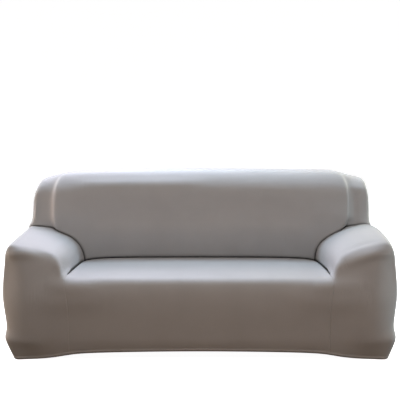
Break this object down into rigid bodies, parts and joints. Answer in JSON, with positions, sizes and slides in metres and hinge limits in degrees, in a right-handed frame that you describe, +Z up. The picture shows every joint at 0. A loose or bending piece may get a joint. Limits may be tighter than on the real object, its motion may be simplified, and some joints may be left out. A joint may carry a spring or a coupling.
{
  "type": "sofa slipcover",
  "caption": "Fitted stretch-knit sofa slipcover: a hollow shell sewn from seat and front, arm, inside back and outer back panels, with its hem drawn up between the feet.",
  "frame": {"origin": "on the floor, under the middle of the cover's bounding box, with the lowest hem at z = 0", "axes": "+X to the right as seen from the front, along the cover's length; +Y to the rear wall, so the seat faces -Y; +Z up"},
  "size_m": [2.2165, 0.8737, 0.9833],
  "materials": {
    "stretch_knit": "matt, silky stretch knit"
  },
  "bodies": {
    "root": {"seat_front_panel": "stretch_knit", "left_arm_panel": "stretch_knit", "right_arm_panel": "stretch_knit", "inside_back_panel": "stretch_knit", "outer_back_panel": "stretch_knit"}
  },
  "joints": []
}
